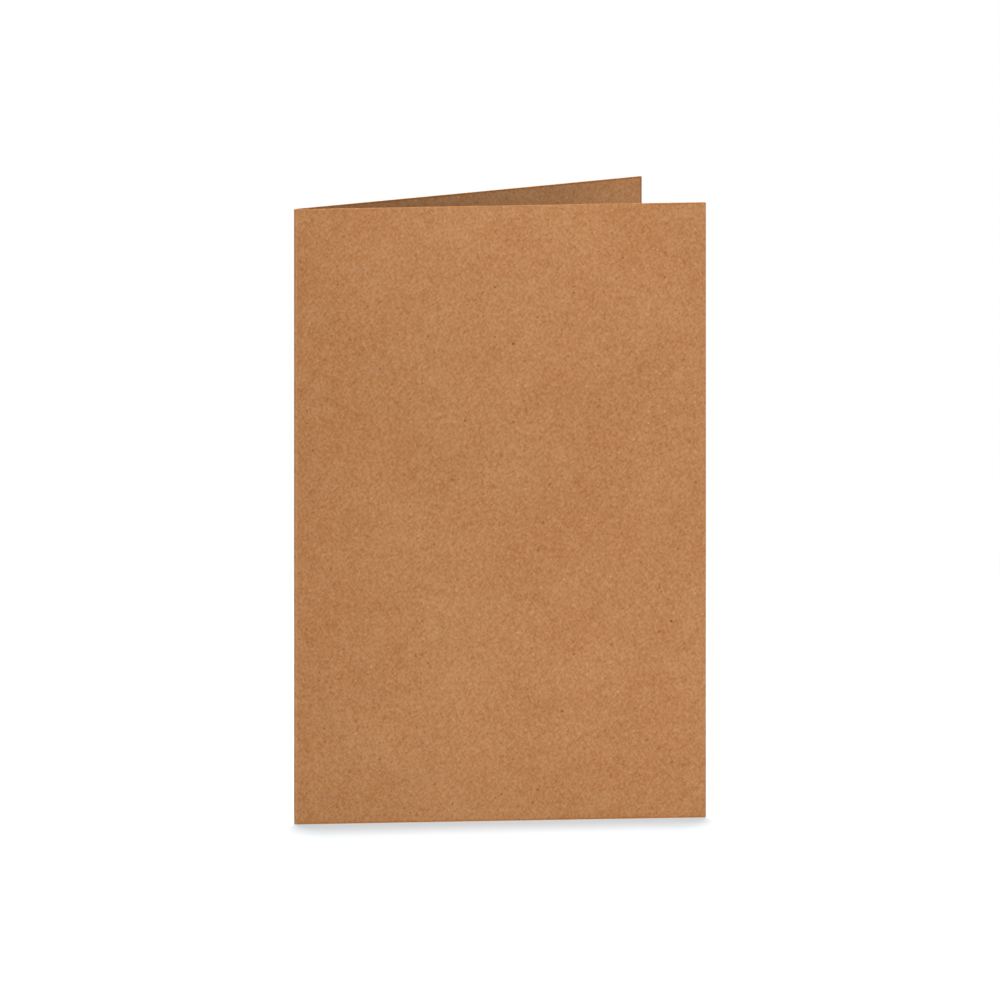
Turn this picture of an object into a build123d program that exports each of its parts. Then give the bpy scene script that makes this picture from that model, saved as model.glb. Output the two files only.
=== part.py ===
from build123d import *
from math import radians
import os

# Folded card: one sheet of kraft board, scored down the middle, folded there and left part open.
# Millimetres, +Z up. The fold stands upright at the -X end and the leaves open towards +X, alike on
# both sides of the XZ plane. The origin is on the surface that the card stands on, under the middle
# of the card's box.

# Sheet
leaf_width = 101.6  # from the score to the trimmed edge, half of the flat sheet
leaf_height = 152.4
board_thickness = 0.38

# How far the card stands open
opening_angle = 26.2  # degrees between the two inside faces

# Score, which the fold follows
fold_radius = 0.2  # inside of the fold
score_depth = 0.05  # how far the creasing rule pressed the outside in
score_shoulder = 0.35  # run over which the pressed board comes back to its full thickness
bead_height = 0.12  # ridge that the rule raised along the inside of the fold
bead_spread = 45  # degrees that the ridge reaches round the inside, to each side

# Directions of the +Y leaf, seen from above, and the radii of the fold
half_opening = opening_angle / 2
along_leaf = Vector(1, 0).rotate(Axis.Z, half_opening)
out_of_leaf = Vector(0, 1).rotate(Axis.Z, half_opening)
fold_outside = fold_radius + board_thickness - score_depth
leaf_outside = fold_radius + board_thickness

# The middle of the board keeps its length, so what goes round the fold comes off the flat run
middle_radius = fold_radius + board_thickness / 2
leaf_run = leaf_width - middle_radius * radians(90 - half_opening)

# The fold's centre line stands where the card's box is even about the origin
mouth_reach = (along_leaf * leaf_run + out_of_leaf * fold_radius).X
fold_centre = Vector((fold_outside - mouth_reach) / 2, 0)


def leaf_point(run, level):
    """A place on the +Y leaf: a run along it from the fold, at a level out from the fold's centre."""
    return fold_centre + along_leaf * run + out_of_leaf * level


# Inside of the fold, where the bead starts and where it stands highest
bead_edge = fold_centre + Vector(-fold_radius, 0).rotate(Axis.Z, -bead_spread)
bead_top = fold_centre + Vector(bead_height - fold_radius, 0)

with BuildPart() as folded_card:
    with BuildSketch(Plane.XY):
        with BuildLine():
            # Outside of the fold, pressed in by the rule, up to its shoulder on the leaf
            TangentArc(fold_centre - Vector(fold_outside, 0), leaf_point(0, fold_outside), tangent=(0, 1))
            # Shoulder, outside face, trimmed edge and inside face of the leaf
            Polyline(
                leaf_point(0, fold_outside),
                leaf_point(score_shoulder, leaf_outside),
                leaf_point(leaf_run, leaf_outside),
                leaf_point(leaf_run, fold_radius),
                leaf_point(0, fold_radius),
            )
            # Inside of the fold and half of the bead along it
            TangentArc(leaf_point(0, fold_radius), bead_edge, tangent=along_leaf * -1)
            TangentArc(bead_top, bead_edge, tangent=(0, 1))
            # The other leaf is the same
            mirror(about=Plane.XZ)
        make_face()
    extrude(amount=leaf_height)

folded_card.part.label = "folded_card"
os.makedirs("parts", exist_ok=True)
export_step(folded_card.part, "parts/folded_card.step")
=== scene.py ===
from math import cos, pi, radians, sin, sqrt

import bpy
from bpy.props import FloatProperty, FloatVectorProperty, PointerProperty
from mathutils import Euler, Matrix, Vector, noise


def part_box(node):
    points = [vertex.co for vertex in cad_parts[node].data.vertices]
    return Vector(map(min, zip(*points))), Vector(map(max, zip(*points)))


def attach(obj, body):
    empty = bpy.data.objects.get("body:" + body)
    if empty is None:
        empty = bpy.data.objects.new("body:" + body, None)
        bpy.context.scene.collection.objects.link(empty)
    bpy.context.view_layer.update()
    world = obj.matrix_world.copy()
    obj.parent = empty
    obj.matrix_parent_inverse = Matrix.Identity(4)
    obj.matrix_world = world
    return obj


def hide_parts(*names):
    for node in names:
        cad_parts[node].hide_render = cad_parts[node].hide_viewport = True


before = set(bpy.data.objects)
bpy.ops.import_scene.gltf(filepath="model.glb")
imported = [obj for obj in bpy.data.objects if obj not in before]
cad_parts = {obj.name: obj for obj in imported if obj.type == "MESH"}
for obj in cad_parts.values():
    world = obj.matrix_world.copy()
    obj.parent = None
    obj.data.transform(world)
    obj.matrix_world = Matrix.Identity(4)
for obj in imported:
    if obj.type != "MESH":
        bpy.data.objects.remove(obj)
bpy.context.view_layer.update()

card_low, card_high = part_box("folded_card")

bl_info = {
    "name": "Folded Kraft Card",
    "version": (1, 0, 0),
    "blender": (4, 5, 0),
    "location": "View3D > Sidebar > Folded Card",
    "description": "A scored and folded kraft board card, standing part open on a white table",
    "category": "Object",
}

# Where the lamps stand round the card: azimuth and elevation in degrees as for the camera, the height
# that they are aimed at, and distance and width in metres
FRONT_LAMP = {"azimuth": -15.0, "elevation": 12.0, "aim": 0.076, "distance": 1.6, "width": 0.6}
LOW_LAMP = {"azimuth": -13.0, "elevation": 8.0, "aim": 0.0, "distance": 0.3, "width": 0.08}
FOOT_LAMP = {"azimuth": 0.0, "elevation": 9.0, "aim": 0.0, "distance": 0.1, "width": 0.03}
RIGHT_LAMP = {"azimuth": 55.0, "elevation": 4.0, "aim": 0.076, "distance": 0.5, "width": 0.2}
NEAR_LAMP = {"azimuth": 25.0, "elevation": 0.0, "aim": 0.076, "distance": 0.35, "width": 0.14}
LEFT_LAMP = {"azimuth": -62.0, "elevation": 20.0, "aim": 0.076, "distance": 1.2, "width": 0.5}
TOP_LAMP = {"azimuth": -10.0, "elevation": 40.0, "aim": 0.15, "distance": 0.12, "width": 0.04}
OVERHEAD_LAMP = {"azimuth": 167.0, "elevation": 85.3, "aim": 0.076, "distance": 1.5, "width": 0.22}
BACK_LAMP = {"azimuth": 160.0, "elevation": 40.0, "aim": 0.076, "distance": 1.5, "width": 0.8}

# How far the camera stands from the card, in metres
CAMERA_DISTANCE = 1.2

# The table, and the distances from the card over which it fades into plain white
TABLE_RADIUS = 4.0
TABLE_SIDES = 96
TABLE_FADE = (0.25, 0.45)
WHITE = (1.0, 1.0, 1.0, 1.0)

# Grains of the pulp, and fibres over them: how fine they go on, and how they are drawn out. Each set of
# fibres has its own turn on the sheet in degrees and its own shift, and is as wide as a share of a grain
PULP = {"detail": 3.0, "roughness": 0.65, "stretch": (1.0, 0.9, 1.0)}
FIBRES = {"detail": 1.0, "stretch": (1.0, 0.22, 1.0)}
FIBRE_SETS = ((32, 7.0), (-48, 19.0))
FIBRE_SHARE = 0.45
FIBRE_TONE = 0.5

# Slower patterns in tone and hue: the size of their features in metres, how fine they go on, their
# strength, and a shift by which none repeats another
MOTTLE = {"size": 0.004, "detail": 2.0, "strength": 0.27, "shift": 31.0}
CLOUDS = {"size": 0.016, "detail": 1.0, "strength": 0.24, "shift": 37.0}
# The drift is random tone, but its shift lines its broad patches up with the front leaf's shading, so it
# also paints shade, darker near the fold
DRIFT_AND_SHADE = {"size": 0.05, "detail": 1.0, "strength": 0.24, "shift": 69.0}
FINE_WARMTH = {"size": 0.0022, "detail": 1.0, "strength": 0.9, "shift": 57.0}
SLOW_WARMTH = {"size": 0.02, "detail": 1.0, "strength": 0.45, "shift": 61.0}
WIDE_WARMTH = {"size": 0.06, "detail": 1.0, "strength": 0.15, "shift": 64.0}
YELLOWNESS = {"size": 0.0019, "detail": 2.0, "strength": 1.0, "shift": 67.0}

# The mean tone between dark and light pulp, how much warmer the board is at the fold, and how strongly
# the hue patterns turn the tints below
MEAN_TONE = 0.465
FOLD_WARMTH = 0.2
HUE_TURN = 1.6

# Specks: the size of the cells that hold one each and the speck's radius, both in metres, how rare the
# strong ones are, and their strength. A speck is even up to a share of its radius, and fades from there
FAINT_SHIVES = {"pitch": 0.0015, "radius": 0.00036, "shift": 72.0, "rarity": 4.0, "strength": 0.66}
STRONG_SHIVES = {"pitch": 0.003, "radius": 0.00044, "shift": 75.0, "rarity": 12.0, "strength": 1.0}
FLECKS = {"pitch": 0.0019, "radius": 0.00036, "shift": 83.0, "rarity": 3.0, "strength": 0.53}
SPECK_CORE = 0.4

# Tints that the board's colour is multiplied by
OLIVE_TINT = (0.985, 1.025, 1.035, 1.0)
RED_TINT = (1.015, 0.975, 0.965, 1.0)
BLUE_TINT = (1.0, 1.0, 1.11, 1.0)
YELLOW_TINT = (1.0, 1.0, 0.89, 1.0)
INSIDE_TINT = (1.03, 1.115, 1.23, 1.0)
# Painted shade: the inside goes darker and cooler deep between the leaves, towards the fold
INSIDE_SHADE_TINT = (0.92, 1.095, 1.26, 1.0)
# A darker rim along the trimmed edges, on the outside and on the inside
EDGE_RIM_TINT = (0.94, 0.81, 0.55, 1.0)
EDGE_RIM_INSIDE_TINT = (0.8, 0.66, 0.44, 1.0)

# How far each finish reaches, in metres: first up to where it is full, then up to where it ends. The
# cut board's reach is in shares of half the thickness
WARM_FOLD = (0.0, 0.045)
# How far from the fold the painted shade inside is full, and where it ends
INSIDE_SHADE_REACH = (0.05, 0.1)
INSIDE_LEVEL = (-0.0001, 0.0001)
RIM = (0.0002, 0.0007)
# The wear at the fold and the painted highlight along the front leaf's upper edge share this reach
WEAR_AND_HIGHLIGHT = (0.0004, 0.0009)
CUT_BOARD = (0.6, 0.9)

# The stretch of the front leaf's upper edge that has no rim: its middle, how far it reaches, and a
# distance that no rim reaches
RIMLESS_MIDDLE = -0.043
RIMLESS_REACH = (0.041, 0.045)
PAST_RIM = 0.01

# How worn the board is at the fold, how much its fibres vary that, and how strong the painted highlight
# along the rimless edge is
WORN_FOLD = 0.65
WORN_FIBRES = 1.5
TOP_HIGHLIGHT = 0.04

# How much the grains vary the roughness, and how little the uncoated board shines
ROUGHNESS_SPREAD = 0.3
SPECULAR_LEVEL = 0.25

# Slow waves of the board: how many there are to the metre across and up the sheet, the slice of the
# noise that they follow, and the share of a leaf over which they die out at the fold and at the free edge
WAVES_ACROSS = 22.0
WAVES_UP = 16.0
WAVE_SLICE = 3.7
CALM_SHARE = 1 / 3

# Steps of the mesh round the fold, over its shoulder and through the board, the angles at which it
# follows a softened arris, and its next rows there, as shares of the corner's radius
FOLD_STEPS = 12
SHOULDER_STEPS = 4
EDGE_LEVELS = 3
ARRIS_ANGLES = (90, 60, 30, 0)
CORNER_ROWS = (0.4, 0.7, 1.0, 2.0, 4.0)

# The card's own bake map: the two faces and the four trimmed edges, in rows of pixels
BAKE_SIDE = 1024
FACE_ROWS = 498
EDGE_ROWS = 3
FACE_GAP = 4
EDGE_GAP = 2
BAKE_INSET = 3


class SheetSizes(bpy.types.PropertyGroup):
    """Sizes of the sheet and of its fold."""

    leaf_width: FloatProperty(
        name="Leaf width",
        description="From the score to the trimmed edge, half of the flat sheet",
        default=0.1016,
        subtype="DISTANCE",
    )
    leaf_height: FloatProperty(
        name="Leaf height",
        description="From the lower to the upper trimmed edge",
        default=card_high.z - card_low.z,
        subtype="DISTANCE",
    )
    board_thickness: FloatProperty(
        name="Board thickness",
        description="Thickness of the kraft board",
        default=0.00038,
        precision=5,
        subtype="DISTANCE",
    )
    opening_angle: FloatProperty(
        name="Opening",
        description="Angle between the two inside faces",
        default=radians(26.2),
        subtype="ANGLE",
    )
    fold_radius: FloatProperty(
        name="Fold radius",
        description="Radius of the inside of the fold",
        default=0.0002,
        precision=5,
        subtype="DISTANCE",
    )
    score_depth: FloatProperty(
        name="Score depth",
        description="How far the creasing rule pressed the outside in",
        default=0.00005,
        precision=6,
        subtype="DISTANCE",
    )
    score_shoulder: FloatProperty(
        name="Score shoulder",
        description="Run over which the pressed board comes back to its full thickness",
        default=0.00035,
        precision=5,
        subtype="DISTANCE",
    )
    bead_height: FloatProperty(
        name="Bead height",
        description="Ridge that the rule raised along the inside of the fold",
        default=0.00012,
        precision=5,
        subtype="DISTANCE",
    )
    bead_spread: FloatProperty(
        name="Bead spread",
        description="Angle that the ridge reaches round the inside of the fold, to each side",
        default=radians(45),
        subtype="ANGLE",
    )
    trim_radius: FloatProperty(
        name="Trimmed edge radius",
        description="Softening of the guillotined edges",
        default=0.00006,
        precision=6,
        subtype="DISTANCE",
    )
    corner_radius: FloatProperty(
        name="Corner radius",
        description="Softening of the sheet's four corners",
        default=0.00025,
        precision=5,
        subtype="DISTANCE",
    )
    bow: FloatProperty(
        name="Bow",
        description="How far the middle of each leaf bows in",
        default=0.00012,
        precision=5,
        subtype="DISTANCE",
    )
    cockle: FloatProperty(
        name="Cockle",
        description="Height of the slow waves that damp air leaves in the board",
        default=0.00005,
        precision=6,
        subtype="DISTANCE",
    )
    mesh_pitch: FloatProperty(
        name="Mesh pitch",
        description="Distance between the rows of the mesh on the flat of a leaf",
        default=0.002,
        precision=4,
        subtype="DISTANCE",
    )


class KraftFinish(bpy.types.PropertyGroup):
    """Colours and grain of the kraft board."""

    dark_pulp: FloatVectorProperty(
        name="Dark pulp",
        description="Colour of the darkest grains of the pulp",
        default=(0.3535, 0.1338, 0.0352),
        subtype="COLOR",
        min=0.0,
        max=1.0,
    )
    light_pulp: FloatVectorProperty(
        name="Light pulp",
        description="Colour of the lightest grains of the pulp",
        default=(0.6055, 0.3125, 0.1425),
        subtype="COLOR",
        min=0.0,
        max=1.0,
    )
    shive: FloatVectorProperty(
        name="Shive",
        description="Colour of the sparse specks of bark",
        default=(0.17, 0.055, 0.02),
        subtype="COLOR",
        min=0.0,
        max=1.0,
    )
    fleck: FloatVectorProperty(
        name="Fleck",
        description="Colour of the sparse pale flecks",
        default=(0.72, 0.44, 0.25),
        subtype="COLOR",
        min=0.0,
        max=1.0,
    )
    # Also the colour of the painted highlight along the front leaf's upper edge
    worn_and_highlight_board: FloatVectorProperty(
        name="Worn board",
        description="Colour of the board where the bend has raised its fibres",
        default=(0.66, 0.32, 0.13),
        subtype="COLOR",
        min=0.0,
        max=1.0,
    )
    grain_width: FloatProperty(
        name="Grain width",
        description="Width of one grain of the pulp",
        default=0.00064,
        precision=5,
        subtype="DISTANCE",
    )
    grain_contrast: FloatProperty(
        name="Grain contrast",
        description="How much the grains differ in tone",
        default=1.23,
        min=0.0,
        max=6.0,
        subtype="FACTOR",
    )
    relief: FloatProperty(
        name="Relief",
        description="Height of the felt of fibres on the surface",
        default=0.00003,
        precision=6,
        subtype="DISTANCE",
    )
    roughness: FloatProperty(
        name="Roughness",
        description="Mean roughness of the uncoated board",
        default=0.88,
        min=0.0,
        max=1.0,
        subtype="FACTOR",
    )


class StudioSet(bpy.types.PropertyGroup):
    """View and light of the studio."""

    view_azimuth: FloatProperty(
        name="View azimuth",
        description="Direction that the camera looks along, round the card",
        default=radians(-19.85),
        subtype="ANGLE",
    )
    view_elevation: FloatProperty(
        name="View elevation",
        description="Height of the camera above the table, as an angle",
        default=radians(8.43),
        subtype="ANGLE",
    )
    view_width: FloatProperty(
        name="View width",
        description="Width of what the camera sees",
        default=0.24513,
        precision=5,
        subtype="DISTANCE",
    )
    view_right: FloatProperty(
        name="View right",
        description="How far the middle of the view lies to the right of the card's origin",
        default=0.003925,
        precision=5,
        subtype="DISTANCE",
    )
    view_up: FloatProperty(
        name="View up",
        description="How far the middle of the view lies above the card's origin",
        default=0.07701,
        precision=5,
        subtype="DISTANCE",
    )
    front_light: FloatProperty(
        name="Front light",
        description="Share of the plain light level that the large front lamp gives a surface facing it",
        default=0.075,
        min=0.0,
    )
    low_light: FloatProperty(
        name="Low light",
        description="Share that the low front lamp gives, which fills the lower half of the card",
        default=0.248,
        min=0.0,
    )
    foot_light: FloatProperty(
        name="Foot light",
        description="Share that the small lamp near the foot of the card gives",
        default=0.074,
        min=0.0,
    )
    right_light: FloatProperty(
        name="Right light",
        description="Share that the lamp at the card's mouth gives, which lights the inside",
        default=0.288,
        min=0.0,
    )
    near_light: FloatProperty(
        name="Near light",
        description="Share that the near right lamp gives, which falls off towards the fold",
        default=0.212,
        min=0.0,
    )
    left_light: FloatProperty(
        name="Left light",
        description="Share that the left lamp gives, which rounds the fold",
        default=0.285,
        min=0.0,
    )
    top_light: FloatProperty(
        name="Top light",
        description="Share that the near top lamp gives, which brightens the top of the card",
        default=0.278,
        min=0.0,
    )
    overhead_light: FloatProperty(
        name="Overhead light",
        description="Share that the small lamp over the card gives, which makes the shadow at its foot",
        default=0.88,
        min=0.0,
    )
    back_light: FloatProperty(
        name="Back light",
        description="Share that the lamp behind the card gives",
        default=0.9,
        min=0.0,
    )
    ambient_light: FloatProperty(
        name="Ambient light",
        description="Strength of the even light of the room",
        default=0.1,
        min=0.0,
    )
    table_white: FloatProperty(
        name="Table white",
        description="Colour of the white table, from black to white",
        default=0.5,
        min=0.0,
        max=1.0,
        subtype="FACTOR",
    )
    table_bounce: FloatProperty(
        name="Table bounce",
        description="Share of the light that the table throws back on the card",
        default=0.1,
        min=0.0,
        max=1.0,
        subtype="FACTOR",
    )
    table_lift: FloatVectorProperty(
        name="Table lift",
        description="White that the camera sees on top of the table's own, cool against the card's glow",
        default=(0.350, 0.400, 0.430),
        subtype="COLOR",
        min=0.0,
        max=1.0,
    )


class Wire:
    """A value that varies over a surface. Python's maths on it adds the shader's own Math nodes."""

    def __init__(self, finish, socket):
        self.finish = finish
        self.socket = socket

    def maths(self, operation, *values):
        settings = {"operation": operation}
        return self.finish.node("ShaderNodeMath", settings, dict(enumerate(values)))

    def __add__(self, other):
        return self.maths("ADD", self, other)

    def __radd__(self, other):
        return self.maths("ADD", other, self)

    def __sub__(self, other):
        return self.maths("SUBTRACT", self, other)

    def __rsub__(self, other):
        return self.maths("SUBTRACT", other, self)

    def __mul__(self, other):
        return self.maths("MULTIPLY", self, other)

    def __rmul__(self, other):
        return self.maths("MULTIPLY", other, self)

    def __abs__(self):
        return self.maths("ABSOLUTE", self)

    def __pow__(self, other):
        return self.maths("POWER", self, other)

    def __rpow__(self, other):
        return self.maths("POWER", other, self)


class Finish:
    """The nodes of one material or of the world."""

    def __init__(self, tree):
        self.tree = tree
        tree.nodes.clear()

    def node(self, kind, settings=None, inputs=None, output=0):
        """Adds a node: its settings first, then the value or link of each socket. Returns one output."""
        made = self.tree.nodes.new(kind)
        for name, value in (settings or {}).items():
            setattr(made, name, value)
        for name, value in (inputs or {}).items():
            if isinstance(value, Wire):
                self.tree.links.new(value.socket, made.inputs[name])
            else:
                made.inputs[name].default_value = value
        return Wire(self, made.outputs[output]) if made.outputs else None

    def smaller(self, first, second):
        return first.maths("MINIMUM", first, second)

    def larger(self, first, second):
        return first.maths("MAXIMUM", first, second)

    def fade(self, value, start, end):
        """1 where the value is at start, falling smoothly to 0 at end."""
        return self.node(
            "ShaderNodeMapRange",
            {"interpolation_type": "SMOOTHSTEP"},
            {"Value": value, "From Min": start, "From Max": end, "To Min": 1.0, "To Max": 0.0},
        )

    def mixed(self, factor, first, second, blend="MIX"):
        """One colour over another, by a factor."""
        settings = {"data_type": "RGBA", "blend_type": blend, "clamp_factor": True}
        return self.node("ShaderNodeMix", settings, {0: factor, 6: first, 7: second}, 2)

    def stretched(self, place, scales, shift):
        """A place times its three scales, moved by one shift."""
        return self.node(
            "ShaderNodeVectorMath",
            {"operation": "MULTIPLY_ADD"},
            {0: place, 1: scales, 2: (shift, shift, shift)},
        )

    def cloud(self, place, size, detail, roughness=0.5, strength=1.0, shift=0.0, stretch=(1.0, 1.0, 1.0)):
        """Soft noise about 0 with features of a size, in metres, longer where the stretch is below 1."""
        scales = tuple(axis / size for axis in stretch)
        found = self.node(
            "ShaderNodeTexNoise",
            {"noise_dimensions": "3D", "noise_type": "FBM", "normalize": True},
            {
                "Vector": self.stretched(place, scales, shift),
                "Scale": 1.0,
                "Detail": detail,
                "Roughness": roughness,
            },
        )
        return strength * (found - 0.5)

    def turned(self, place, degrees):
        """A place on the sheet, turned in the sheet's plane."""
        return self.node(
            "ShaderNodeVectorRotate",
            {"rotation_type": "Z_AXIS"},
            {"Vector": place, "Angle": radians(degrees)},
        )

    def scattered(self, place, pitch, radius, shift, rarity, strength):
        """Sparse round spots of a radius in metres, in cells of a pitch, of which few are strong."""
        spots = {
            "Vector": self.stretched(place, (1 / pitch,) * 3, shift),
            "Scale": 1.0,
            "Randomness": 1.0,
        }
        settings = {"voronoi_dimensions": "3D", "feature": "F1"}
        distance = self.node("ShaderNodeTexVoronoi", settings, spots, "Distance")
        cell = self.node("ShaderNodeTexVoronoi", settings, spots, "Color")
        chance = self.node("ShaderNodeSeparateColor", {}, {"Color": cell}, "Red")
        spot = self.fade(distance, SPECK_CORE * radius / pitch, radius / pitch)
        return strength * spot * chance**rarity


def steps(start, end, count):
    """Evenly spaced values from start to end, both included."""
    return [start + (end - start) * k / count for k in range(count + 1)]


def smooth(value):
    """0 to 1 with a smooth start and end."""
    value = min(max(value, 0.0), 1.0)
    return value * value * (3 - 2 * value)


class SheetForm:
    """Where each place of the flat sheet goes once it is scored, folded and trimmed."""

    def __init__(self, sizes):
        self.sizes = sizes
        half_opening = sizes.opening_angle / 2
        self.middle_radius = sizes.fold_radius + sizes.board_thickness / 2
        self.fold_reach = self.middle_radius * (pi / 2 - half_opening)
        self.along = Vector((cos(half_opening), sin(half_opening)))
        self.out = Vector((-sin(half_opening), cos(half_opening)))
        fold_outside = sizes.fold_radius + sizes.board_thickness - sizes.score_depth
        self.fold_x = card_low.x + fold_outside

    def drop(self, from_edge):
        """How much lower the face lies near a trimmed edge, where the guillotine rounded it."""
        radius = self.sizes.trim_radius
        if from_edge >= radius:
            return 0.0
        return radius - sqrt(radius**2 - (radius - from_edge) ** 2)

    def softened(self, across, up):
        """A place of the sheet, drawn in near the sheet's corners so that they are a little round."""
        radius = self.sizes.corner_radius
        from_side = self.sizes.leaf_width - abs(across)
        from_end = min(up, self.sizes.leaf_height - up)
        if from_side >= radius or from_end >= radius:
            return across, up
        side = 1 - from_side / radius
        end = 1 - from_end / radius
        side_cut = radius * side * (1 - sqrt(1 - end**2 / 2))
        end_cut = radius * end * (1 - sqrt(1 - side**2 / 2))
        across -= side_cut if across > 0 else -side_cut
        up += end_cut if up < self.sizes.leaf_height / 2 else -end_cut
        return across, up

    def face_level(self, across, up, side):
        """Level of the outside (side 1) or the inside (side -1) over the middle of the board."""
        sizes = self.sizes
        from_fold = abs(across)
        level = sizes.board_thickness / 2
        if side > 0:
            level -= sizes.score_depth * (1 - smooth((from_fold - self.fold_reach) / sizes.score_shoulder))
        else:
            turn = from_fold / self.middle_radius
            level += sizes.bead_height * (1 - smooth(turn / sizes.bead_spread))
        level -= self.drop(sizes.leaf_width - from_fold)
        level -= self.drop(min(up, sizes.leaf_height - up))
        return side * level

    def sway(self, across, up):
        """How far the leaf lies inside of its plane: a slight bow and slow waves, none at its ends."""
        sizes = self.sizes
        along = abs(across) / sizes.leaf_width
        bow = sizes.bow * 4 * along * (1 - along)
        wave = noise.noise(Vector((across * WAVES_ACROSS, up * WAVES_UP, WAVE_SLICE))) - 1.0
        calm = smooth(along / CALM_SHARE) * smooth((1 - along) / CALM_SHARE)
        return -bow + sizes.cockle * wave * calm

    def place(self, across, up, level):
        """The point of the folded card at a place of the flat sheet and a level out from its middle."""
        across, up = self.softened(across, up)
        radius = self.middle_radius + level + self.sway(across, up)
        from_fold = abs(across)
        if from_fold < self.fold_reach:
            turn = from_fold / self.middle_radius
            x, y = -radius * cos(turn), radius * sin(turn)
        else:
            x, y = self.along * (from_fold - self.fold_reach) + self.out * radius
        return Vector((self.fold_x + x, y if across > 0 else -y, card_low.z + up))

    def edge_stations(self):
        """Distances from a trimmed edge: round its softened arris, then wider and wider."""
        radius = self.sizes.trim_radius
        arris = [radius * (1 - sin(radians(angle))) for angle in ARRIS_ANGLES]
        return arris + [self.sizes.corner_radius * share for share in CORNER_ROWS]

    def across_stations(self):
        """Where the mesh has its columns, from one free edge to the other."""
        sizes = self.sizes
        shoulder_end = self.fold_reach + sizes.score_shoulder
        fold = steps(0.0, self.fold_reach, FOLD_STEPS)
        shoulder = steps(self.fold_reach, shoulder_end, SHOULDER_STEPS)[1:]
        edge = [sizes.leaf_width - distance for distance in reversed(self.edge_stations())]
        count = round((edge[0] - shoulder_end) / sizes.mesh_pitch)
        flat = steps(shoulder_end, edge[0], count)[1:-1]
        half = fold + shoulder + flat + edge
        return [-across for across in reversed(half[1:])] + half

    def up_stations(self):
        """Where the mesh has its rows, from the lower edge to the upper one."""
        height = self.sizes.leaf_height
        edge = self.edge_stations()
        count = round((height - 2 * edge[-1]) / self.sizes.mesh_pitch)
        flat = steps(edge[-1], height - edge[-1], count)[1:-1]
        return edge + flat + [height - distance for distance in reversed(edge)]


class SheetMesh:
    """The closed skin of the sheet: outside, inside and four trimmed edges, each with its bake place."""

    def __init__(self, form):
        self.form = form
        self.columns = form.across_stations()
        self.rows = form.up_stations()
        self.points = []
        self.sheet_places = []
        self.index = {}
        self.faces = []
        self.bake_places = []

    def vertex(self, column, row, level_step):
        """The vertex at a column and row, at one of the steps from the outside (0) to the inside."""
        key = (column, row, level_step)
        if key not in self.index:
            across, up = self.columns[column], self.rows[row]
            share = level_step / EDGE_LEVELS
            outer = self.form.face_level(across, up, 1)
            inner = self.form.face_level(across, up, -1)
            level = outer + (inner - outer) * share
            self.index[key] = len(self.points)
            self.points.append(self.form.place(across, up, level))
            self.sheet_places.append((across, up, level))
        return self.index[key]

    def add_face(self, corners, bake_rows, bake_place):
        """A face with its corners (column, row, level step) and where each lies on the bake map."""
        self.faces.append([self.vertex(*corner) for corner in corners])
        first, height = bake_rows
        for corner in corners:
            along, over = bake_place(*corner)
            u = (BAKE_INSET + along * (BAKE_SIDE - 2 * BAKE_INSET)) / BAKE_SIDE
            self.bake_places.append((u, (first + over * height) / BAKE_SIDE))

    def share_across(self, column):
        return (self.columns[column] / self.columns[-1] + 1) / 2

    def share_up(self, row):
        return self.rows[row] / self.rows[-1]

    def build(self):
        """The mesh of both faces and all four edges, with its places on the sheet and on the bake map."""
        last_column, last_row = len(self.columns) - 1, len(self.rows) - 1
        rows_from = FACE_GAP / 2

        def on_face(column, row, _step):
            return self.share_across(column), self.share_up(row)

        def on_end(column, _row, step):
            return self.share_across(column), step / EDGE_LEVELS

        def on_side(_column, row, step):
            return self.share_up(row), step / EDGE_LEVELS

        for s, turn in ((0, 1), (EDGE_LEVELS, -1)):
            for c in range(last_column):
                for r in range(last_row):
                    corners = [(c, r, s), (c, r + 1, s), (c + 1, r + 1, s), (c + 1, r, s)]
                    self.add_face(corners[::turn], (rows_from, FACE_ROWS), on_face)
            rows_from += FACE_ROWS + FACE_GAP
        rows_from += (EDGE_GAP - FACE_GAP) / 2
        for r, turn in ((0, 1), (last_row, -1)):
            for c in range(last_column):
                for s in range(EDGE_LEVELS):
                    corners = [(c, r, s), (c + 1, r, s), (c + 1, r, s + 1), (c, r, s + 1)]
                    self.add_face(corners[::turn], (rows_from, EDGE_ROWS), on_end)
            rows_from += EDGE_ROWS + EDGE_GAP
        for c, turn in ((0, -1), (last_column, 1)):
            for r in range(last_row):
                for s in range(EDGE_LEVELS):
                    corners = [(c, r, s), (c, r + 1, s), (c, r + 1, s + 1), (c, r, s + 1)]
                    self.add_face(corners[::turn], (rows_from, EDGE_ROWS), on_side)
            rows_from += EDGE_ROWS + EDGE_GAP

        mesh = bpy.data.meshes.new("card_sheet")
        mesh.from_pydata(self.points, [], self.faces)
        mesh.shade_smooth()
        places = mesh.attributes.new("sheet", "FLOAT_VECTOR", "POINT")
        places.data.foreach_set("vector", [value for place in self.sheet_places for value in place])
        layer = mesh.uv_layers.new(name="OFBake")
        layer.uv.foreach_set("vector", [value for place in self.bake_places for value in place])
        return mesh


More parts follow.
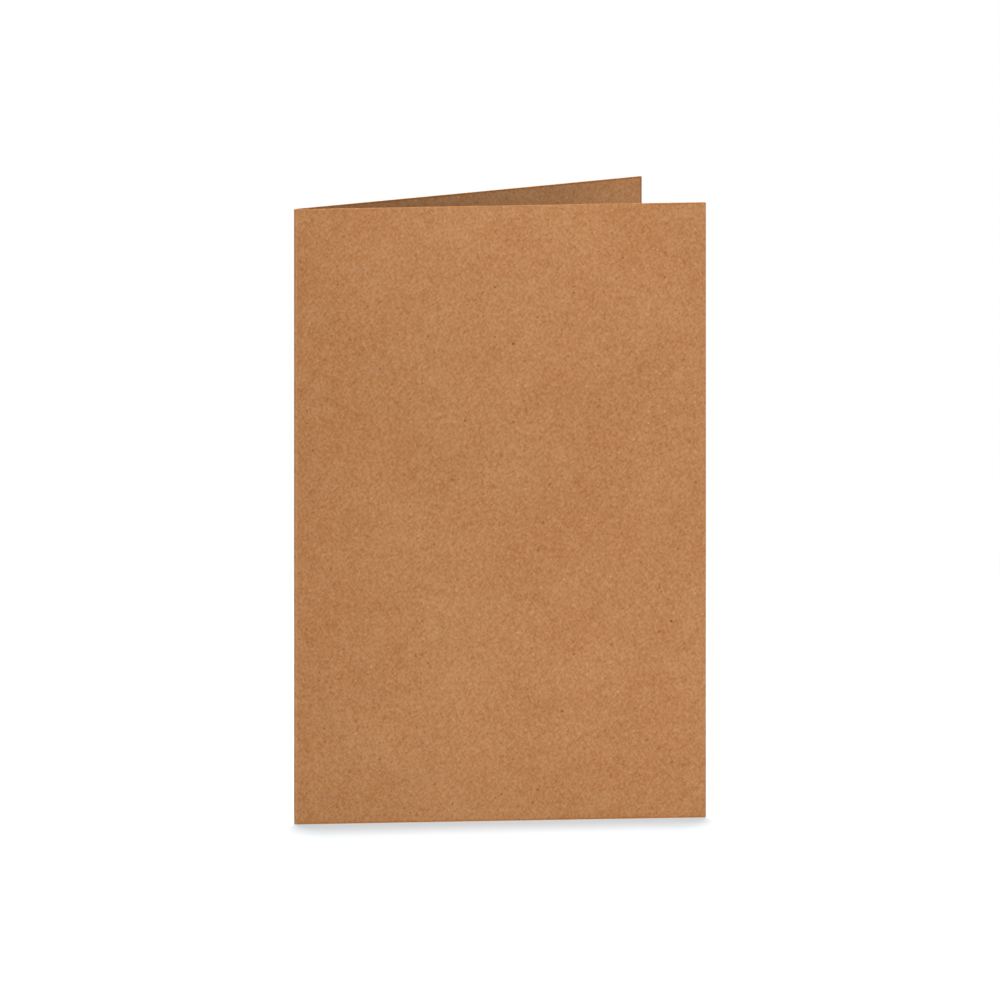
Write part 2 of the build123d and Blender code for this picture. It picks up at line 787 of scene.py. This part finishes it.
def kraft_board(sizes, look):
    """Uncoated kraft board: felted pulp, sparse specks, darker trimmed edges, wear at the fold, painted
    shade inside and a painted highlight on one edge.
    """
    material = bpy.data.materials.new("kraft_board")
    material.use_nodes = True
    f = Finish(material.node_tree)
    place = f.node("ShaderNodeAttribute", {"attribute_name": "sheet"}, {}, "Vector")
    split = {"Vector": place}
    across = f.node("ShaderNodeSeparateXYZ", {}, split, "X")
    up = f.node("ShaderNodeSeparateXYZ", {}, split, "Y")
    level = f.node("ShaderNodeSeparateXYZ", {}, split, "Z")

    # Pulp: grains that the paper machine drew out a little up the leaf, and finer fibres across them
    pulp = f.cloud(place, look.grain_width, **PULP)
    fibres, more_fibres = (
        f.cloud(f.turned(place, degrees), FIBRE_SHARE * look.grain_width, shift=shift, **FIBRES)
        for degrees, shift in FIBRE_SETS
    )
    grains = pulp + FIBRE_TONE * (fibres + more_fibres)

    # Tone: the grains, over slow patches of darker and lighter pulp; the broadest of them also paint the
    # shading of the front leaf
    slow_tone_and_shade = f.cloud(place, **MOTTLE) + f.cloud(place, **CLOUDS) + f.cloud(place, **DRIFT_AND_SHADE)
    tone = MEAN_TONE + look.grain_contrast * grains + slow_tone_and_shade
    board = f.mixed(tone, (*look.dark_pulp, 1.0), (*look.light_pulp, 1.0))

    # Hue: patches that lean to red, mostly where the tone is dark and towards the fold, or to olive, and
    # finer ones that lean to yellow or to blue
    warmth = f.cloud(place, **FINE_WARMTH) + f.cloud(place, **SLOW_WARMTH) + f.cloud(place, **WIDE_WARMTH)
    warmth += FOLD_WARMTH * f.fade(abs(across), *WARM_FOLD) - slow_tone_and_shade
    warm = f.mixed(0.5 + HUE_TURN * warmth, OLIVE_TINT, RED_TINT)
    yellow = f.mixed(0.5 + HUE_TURN * f.cloud(place, **YELLOWNESS), BLUE_TINT, YELLOW_TINT)
    board = f.mixed(1.0, board, f.mixed(1.0, warm, yellow, "MULTIPLY"), "MULTIPLY")

    # Specks: faint shives and a few strong ones, and pale flecks
    shives = f.larger(f.scattered(place, **FAINT_SHIVES), f.scattered(place, **STRONG_SHIVES))
    board = f.mixed(shives, board, (*look.shive, 1.0))
    board = f.mixed(f.scattered(place, **FLECKS), board, (*look.fleck, 1.0))

    # Inside: this side is tinted a little greyer, and darker deep between the leaves towards the fold, as
    # painted shade
    inside = f.fade(level, *INSIDE_LEVEL)
    inner_tint_and_shade = f.mixed(f.fade(abs(across), *INSIDE_SHADE_REACH), INSIDE_TINT, INSIDE_SHADE_TINT)
    board = f.mixed(inside, board, inner_tint_and_shade, "MULTIPLY")

    # Trimmed edges: a narrow darker rim on the faces, and darker cut board between them. The front leaf
    # has no rim along its free edge, and along its upper edge only near the free corner
    from_top = sizes.leaf_height - up
    rimless = f.fade(abs(across - RIMLESS_MIDDLE), *RIMLESS_REACH)
    from_end = f.smaller(up, from_top + PAST_RIM * rimless)
    rim = f.fade(f.smaller(from_end, sizes.leaf_width - across), *RIM)
    cut = f.fade(abs(level), *(share * sizes.board_thickness / 2 for share in CUT_BOARD))
    rim_tint = f.mixed(inside, EDGE_RIM_TINT, EDGE_RIM_INSIDE_TINT)
    board = f.mixed(f.larger(rim, cut), board, rim_tint, "MULTIPLY")

    # Wear: paler where the bend has raised the fibres. Painted highlight: faintly paler along that upper
    # edge, where light catches it
    worn_fold = f.fade(abs(across), *WEAR_AND_HIGHLIGHT) * (WORN_FOLD + WORN_FIBRES * fibres)
    top_highlight = TOP_HIGHLIGHT * f.fade(from_top, *WEAR_AND_HIGHLIGHT) * rimless
    board = f.mixed(f.larger(worn_fold, top_highlight), board, (*look.worn_and_highlight_board, 1.0))

    # Felt: the grains lie about half a unit to each side of 0, so twice that stands out by the relief
    height = {"Strength": 1.0, "Distance": look.relief, "Height": 2.0 * grains}
    felt = f.node("ShaderNodeBump", {}, height)
    surface = f.node(
        "ShaderNodeBsdfPrincipled",
        {},
        {
            "Base Color": board,
            "Roughness": look.roughness + ROUGHNESS_SPREAD * pulp,
            "Specular IOR Level": SPECULAR_LEVEL,
            "Normal": felt,
        },
    )
    f.node("ShaderNodeOutputMaterial", {}, {"Surface": surface})
    return material


def seen(f):
    """1 for what the camera sees, straight, in a reflection or through something clear."""
    rays = [
        f.node("ShaderNodeLightPath", {}, {}, name)
        for name in ("Is Camera Ray", "Is Glossy Ray", "Is Transmission Ray")
    ]
    return f.larger(f.larger(rays[0], rays[1]), rays[2])


def white_table(studio):
    """A white table as the camera sees it, with the card's shadow, and a plainer one for the light."""
    material = bpy.data.materials.new("white_table")
    material.use_nodes = True
    f = Finish(material.node_tree)
    grey = {"Color": (*(studio.table_bounce,) * 3, 1.0)}
    pale = {"Color": (*(studio.table_white,) * 3, 1.0)}
    plain = f.node("ShaderNodeBsdfDiffuse", {}, grey)
    lit = f.node("ShaderNodeBsdfDiffuse", {}, pale)
    lift = f.node("ShaderNodeEmission", {}, {"Color": (*studio.table_lift, 1.0), "Strength": 1.0})
    near = f.node("ShaderNodeAddShader", {}, {0: lit, 1: lift})
    far = f.node("ShaderNodeEmission", {}, {"Color": WHITE, "Strength": 1.0})
    place = f.node("ShaderNodeNewGeometry", {}, {}, "Position")
    away = f.node("ShaderNodeVectorMath", {"operation": "LENGTH"}, {0: place}, "Value")
    shown = f.node("ShaderNodeMixShader", {}, {0: f.fade(away, *TABLE_FADE), 1: far, 2: near})
    surface = f.node("ShaderNodeMixShader", {}, {0: seen(f), 1: plain, 2: shown})
    f.node("ShaderNodeOutputMaterial", {}, {"Surface": surface})
    return material


def white_room(studio):
    """An even room, white to the camera and dimmer as a light."""
    world = bpy.data.worlds.new("white_room")
    world.use_nodes = True
    f = Finish(world.node_tree)
    light = f.node("ShaderNodeBackground", {}, {"Color": WHITE, "Strength": studio.ambient_light})
    white = f.node("ShaderNodeBackground", {}, {"Color": WHITE, "Strength": 1.0})
    surface = f.node("ShaderNodeMixShader", {}, {0: seen(f), 1: light, 2: white})
    f.node("ShaderNodeOutputWorld", {}, {"Surface": surface})
    return world


def towards(azimuth, elevation):
    """Unit vector from the card to a viewer at an azimuth and an elevation, in radians."""
    level = cos(elevation)
    return Vector((sin(azimuth) * level, -cos(azimuth) * level, sin(elevation)))


def add_lamp(name, stand, share, shape="SQUARE"):
    """A soft lamp aimed over the card's origin, which gives what faces it a share of the plain level."""
    light = bpy.data.lights.new(name, "AREA")
    light.shape = shape
    light.size = stand["width"]
    # At a share of 1 a white matt surface that faces the lamp comes out white
    light.energy = share * pi**2 * stand["distance"] ** 2
    lamp = bpy.data.objects.new(name, light)
    back = towards(radians(stand["azimuth"]), radians(stand["elevation"]))
    lamp.location = Vector((0.0, 0.0, stand["aim"])) + back * stand["distance"]
    lamp.rotation_euler = back.to_track_quat("Z", "Y").to_euler()
    lamp.visible_camera = False
    bpy.context.scene.collection.objects.link(lamp)


class OBJECT_OT_fold_card_sheet(bpy.types.Operator):
    """Fold the kraft sheet and dress it"""

    bl_idname = "object.fold_card_sheet"
    bl_label = "Fold Card Sheet"

    def execute(self, context):
        sizes = context.scene.sheet_sizes
        card = bpy.data.objects.new("card_sheet", SheetMesh(SheetForm(sizes)).build())
        card.data.materials.append(kraft_board(sizes, context.scene.kraft_finish))
        context.scene.collection.objects.link(card)
        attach(card, "root")
        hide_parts("folded_card")
        return {"FINISHED"}


class OBJECT_OT_set_card_stage(bpy.types.Operator):
    """Lay the white table, hang the lamps and set up the camera"""

    bl_idname = "object.set_card_stage"
    bl_label = "Set Card Stage"

    def execute(self, context):
        scene = context.scene
        studio = scene.studio_set
        turns = [2 * pi * k / TABLE_SIDES for k in range(TABLE_SIDES)]
        rim = [(TABLE_RADIUS * cos(turn), TABLE_RADIUS * sin(turn), card_low.z) for turn in turns]
        mesh = bpy.data.meshes.new("table")
        mesh.from_pydata(rim, [], [list(range(TABLE_SIDES))])
        table = bpy.data.objects.new("table", mesh)
        table.data.materials.append(white_table(studio))
        scene.collection.objects.link(table)

        add_lamp("front_softbox", FRONT_LAMP, studio.front_light)
        add_lamp("low_softbox", LOW_LAMP, studio.low_light)
        add_lamp("foot_softbox", FOOT_LAMP, studio.foot_light)
        add_lamp("right_softbox", RIGHT_LAMP, studio.right_light)
        add_lamp("near_softbox", NEAR_LAMP, studio.near_light)
        add_lamp("left_softbox", LEFT_LAMP, studio.left_light)
        add_lamp("top_softbox", TOP_LAMP, studio.top_light)
        add_lamp("overhead_spot", OVERHEAD_LAMP, studio.overhead_light, "DISK")
        add_lamp("back_softbox", BACK_LAMP, studio.back_light)
        scene.world = white_room(studio)

        camera = bpy.data.objects.new("camera", bpy.data.cameras.new("camera"))
        camera.data.type = "ORTHO"
        camera.data.ortho_scale = studio.view_width
        turn = Euler((pi / 2 - studio.view_elevation, 0.0, studio.view_azimuth))
        stand = Vector((studio.view_right, studio.view_up, CAMERA_DISTANCE))
        camera.location = turn.to_matrix() @ stand
        camera.rotation_euler = turn
        scene.collection.objects.link(camera)
        scene.camera = camera
        scene.view_settings.view_transform = "Standard"
        return {"FINISHED"}


class VIEW3D_PT_folded_card(bpy.types.Panel):
    """Sizes, finish and stage of the folded card"""

    bl_label = "Folded Card"
    bl_idname = "VIEW3D_PT_folded_card"
    bl_space_type = "VIEW_3D"
    bl_region_type = "UI"
    bl_category = "Folded Card"

    def draw(self, context):
        scene = context.scene
        for group in (scene.sheet_sizes, scene.kraft_finish, scene.studio_set):
            box = self.layout.box()
            for name in group.__annotations__:
                box.prop(group, name)
        self.layout.operator(OBJECT_OT_fold_card_sheet.bl_idname)
        self.layout.operator(OBJECT_OT_set_card_stage.bl_idname)


CLASSES = (
    SheetSizes,
    KraftFinish,
    StudioSet,
    OBJECT_OT_fold_card_sheet,
    OBJECT_OT_set_card_stage,
    VIEW3D_PT_folded_card,
)


def register():
    for cls in CLASSES:
        bpy.utils.register_class(cls)
    bpy.types.Scene.sheet_sizes = PointerProperty(type=SheetSizes)
    bpy.types.Scene.kraft_finish = PointerProperty(type=KraftFinish)
    bpy.types.Scene.studio_set = PointerProperty(type=StudioSet)


def unregister():
    del bpy.types.Scene.studio_set
    del bpy.types.Scene.kraft_finish
    del bpy.types.Scene.sheet_sizes
    for cls in reversed(CLASSES):
        bpy.utils.unregister_class(cls)


def main():
    register()
    bpy.ops.object.fold_card_sheet()
    bpy.ops.object.set_card_stage()


if __name__ == "__main__":
    main()
